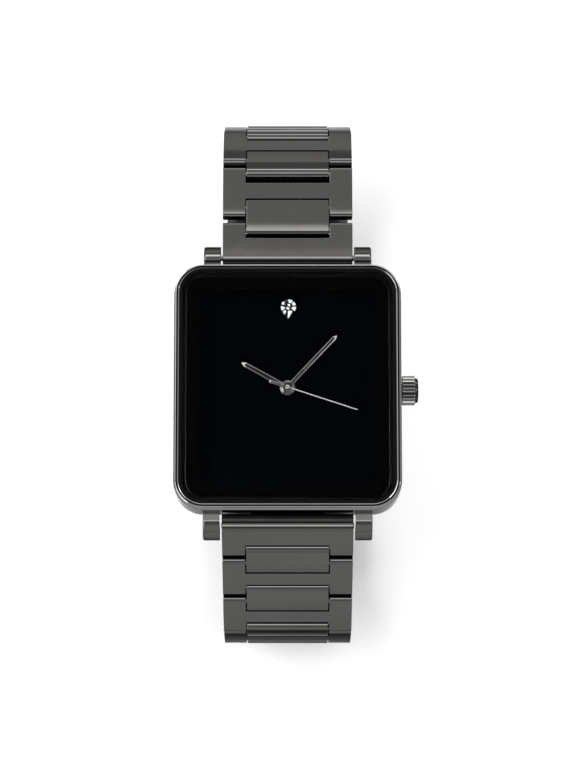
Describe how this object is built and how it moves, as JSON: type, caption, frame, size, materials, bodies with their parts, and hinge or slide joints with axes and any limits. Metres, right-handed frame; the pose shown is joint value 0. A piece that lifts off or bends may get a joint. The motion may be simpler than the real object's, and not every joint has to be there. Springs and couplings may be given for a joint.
{
  "type": "wrist watch",
  "caption": "Square quartz wrist watch with a black dial, stone marker, three hands, setting crown and a closed link bracelet with a fold-over clasp.",
  "frame": {"origin": "centre of the case back's outer face, on the hands' axis", "axes": "+X towards 3 o'clock and the crown, +Y towards 12 o'clock, +Z out of the dial"},
  "size_m": [0.0361, 0.0792, 0.047],
  "materials": {
    "polished_steel": "polished",
    "link_steel": "satin with polished edges",
    "block_steel": "polished",
    "pin_steel": "plain",
    "crystal": "clear",
    "dial_black": "black lacquer",
    "stone": "clear cut stone",
    "hands": "polished",
    "gasket": "matt",
    "holder": "moulded",
    "movement": "satin",
    "bridge": "satin",
    "battery": "satin",
    "coil": "enamelled wire"
  },
  "bodies": {
    "case": {"mid_case": "polished_steel", "bezel": "polished_steel", "crystal": "crystal", "crystal_gasket": "gasket", "dial": "dial_black", "dial_stone": "stone", "main_plate": "movement", "train_bridge": "bridge", "battery": "battery", "coil": "coil", "movement_holder": "holder", "case_back": "link_steel", "case_back_gasket": "gasket", "case_back_screws": "pin_steel", "crown_tube": "pin_steel", "upper_spring_bar": "pin_steel"},
    "upper_end": {"upper_end_link": "link_steel"},
    "upper_1": {"upper_link_1": "link_steel", "upper_block_1": "block_steel"},
    "upper_2": {"upper_link_2": "link_steel", "upper_block_2": "block_steel"},
    "upper_3": {"upper_link_3": "link_steel", "upper_block_3": "block_steel"},
    "upper_4": {"upper_link_4": "link_steel", "upper_block_4": "block_steel"},
    "upper_5": {"upper_link_5": "link_steel", "upper_block_5": "block_steel"},
    "upper_6": {"upper_link_6": "link_steel", "upper_block_6": "block_steel"},
    "upper_7": {"upper_link_7": "link_steel", "upper_block_7": "block_steel"},
    "cover": {"clasp_cover": "link_steel", "clasp_spring_bar": "pin_steel"},
    "frame_blade": {"clasp_frame_blade": "link_steel"},
    "tongue_blade": {"clasp_tongue_blade": "link_steel"},
    "lower_6": {"lower_link_6": "link_steel", "lower_block_6": "block_steel"},
    "lower_5": {"lower_link_5": "link_steel", "lower_block_5": "block_steel"},
    "lower_4": {"lower_link_4": "link_steel", "lower_block_4": "block_steel"},
    "lower_3": {"lower_link_3": "link_steel", "lower_block_3": "block_steel"},
    "lower_2": {"lower_link_2": "link_steel", "lower_block_2": "block_steel"},
    "lower_1": {"lower_link_1": "link_steel", "lower_block_1": "block_steel"},
    "lower_end": {"lower_end_link": "link_steel", "lower_spring_bar": "pin_steel"},
    "hour": {"hour_hand": "hands", "hour_wheel": "movement"},
    "minute": {"minute_hand": "hands", "cannon_pinion": "pin_steel"},
    "seconds": {"second_hand": "hands"},
    "minute_wheel": {"minute_wheel": "movement"},
    "setting": {"setting_lever": "pin_steel"},
    "crown": {"crown": "polished_steel", "stem": "pin_steel"}
  },
  "joints": [
    {"name": "upper_end_pivot", "type": "hinge", "parent": "case", "child": "upper_end", "pos_m": [0, 0.02017, 0.00335], "axis": [1, 0, 0], "range_deg": [0, 90]},
    {"name": "upper_pivot_1", "type": "hinge", "parent": "upper_end", "child": "upper_1", "pos_m": [0, 0.02452, 0.00335], "axis": [1, 0, 0], "range_deg": [0, 6]},
    {"name": "upper_pivot_2", "type": "hinge", "parent": "upper_1", "child": "upper_2", "pos_m": [0, 0.03302, 0.0032], "axis": [1, 0, 0], "range_deg": [0, 43]},
    {"name": "upper_pivot_3", "type": "hinge", "parent": "upper_2", "child": "upper_3", "pos_m": [0, 0.03962, -0.00215], "axis": [1, 0, 0], "range_deg": [0, 35]},
    {"name": "upper_pivot_4", "type": "hinge", "parent": "upper_3", "child": "upper_4", "pos_m": [0, 0.04267, -0.01008], "axis": [1, 0, 0], "range_deg": [0, 29]},
    {"name": "upper_pivot_5", "type": "hinge", "parent": "upper_4", "child": "upper_5", "pos_m": [0, 0.04223, -0.01857], "axis": [1, 0, 0], "range_deg": [0, 20.5]},
    {"name": "upper_pivot_6", "type": "hinge", "parent": "upper_5", "child": "upper_6", "pos_m": [0, 0.03953, -0.02663], "axis": [1, 0, 0], "range_deg": [0, 28.5]},
    {"name": "upper_pivot_7", "type": "hinge", "parent": "upper_6", "child": "upper_7", "pos_m": [0, 0.03384, -0.03295], "axis": [1, 0, 0], "range_deg": [0, 32]},
    {"name": "cover_pivot", "type": "hinge", "parent": "upper_7", "child": "cover", "pos_m": [0, 0.02591, -0.03599], "axis": [1, 0, 0], "range_deg": [0, 26]},
    {"name": "clasp_cover_hinge", "type": "hinge", "parent": "cover", "child": "frame_blade", "pos_m": [0, -0.01075, -0.03589], "axis": [1, 0, 0], "range_deg": [0, 165]},
    {"name": "clasp_blade_hinge", "type": "hinge", "parent": "frame_blade", "child": "tongue_blade", "pos_m": [0, 0.01891, -0.03589], "axis": [1, 0, 0], "range_deg": [-165, 0]},
    {"name": "tongue_pivot", "type": "hinge", "parent": "tongue_blade", "child": "lower_6", "pos_m": [0, -0.01625, -0.03599], "axis": [1, 0, 0], "range_deg": [0, 5.51]},
    {"name": "lower_pivot_6", "type": "hinge", "parent": "lower_6", "child": "lower_5", "pos_m": [0, -0.02475, -0.03592], "axis": [1, 0, 0], "range_deg": [0, 43.48]},
    {"name": "lower_pivot_5", "type": "hinge", "parent": "lower_5", "child": "lower_4", "pos_m": [0, -0.03135, -0.03057], "axis": [1, 0, 0], "range_deg": [0, 40]},
    {"name": "lower_pivot_4", "type": "hinge", "parent": "lower_4", "child": "lower_3", "pos_m": [0, -0.03369, -0.0224], "axis": [1, 0, 0], "range_deg": [0, 28]},
    {"name": "lower_pivot_3", "type": "hinge", "parent": "lower_3", "child": "lower_2", "pos_m": [0, -0.03266, -0.01396], "axis": [1, 0, 0], "range_deg": [0, 32.5]},
    {"name": "lower_pivot_2", "type": "hinge", "parent": "lower_2", "child": "lower_1", "pos_m": [0, -0.02784, -0.00696], "axis": [1, 0, 0], "range_deg": [0, 7]},
    {"name": "lower_end_pivot", "type": "hinge", "parent": "lower_1", "child": "lower_end", "pos_m": [0, -0.02279, -0.00012], "axis": [1, 0, 0], "range_deg": [0, 5.5]},
    {"name": "seconds_spin", "type": "hinge", "parent": "case", "child": "seconds", "pos_m": [0, 0, 0.0068], "axis": [0, 0, 1], "continuous": true},
    {"name": "minute_spin", "type": "hinge", "parent": "case", "child": "minute", "pos_m": [0, 0, 0.0065], "axis": [0, 0, 1], "continuous": true},
    {"name": "hour_spin", "type": "hinge", "parent": "case", "child": "hour", "pos_m": [0, 0, 0.0062], "axis": [0, 0, 1], "continuous": true},
    {"name": "minute_wheel_spin", "type": "hinge", "parent": "case", "child": "minute_wheel", "pos_m": [0.00272, -0.00127, 0.00475], "axis": [0, 0, 1], "continuous": true},
    {"name": "crown_pull", "type": "slide", "parent": "case", "child": "setting", "axis": [1, 0, 0], "range_m": [0, 0.001]},
    {"name": "crown_spin", "type": "hinge", "parent": "setting", "child": "crown", "pos_m": [0.0168, 0, 0.0037], "axis": [1, 0, 0], "continuous": true}
  ],
  "couplings": [
    {"joint": "seconds_spin", "follows": "minute_spin", "ratio": 60},
    {"joint": "hour_spin", "follows": "minute_spin", "ratio": 0.083333},
    {"joint": "minute_wheel_spin", "follows": "minute_spin", "ratio": -0.33333},
    {"joint": "clasp_blade_hinge", "follows": "clasp_cover_hinge", "ratio": -1}
  ]
}
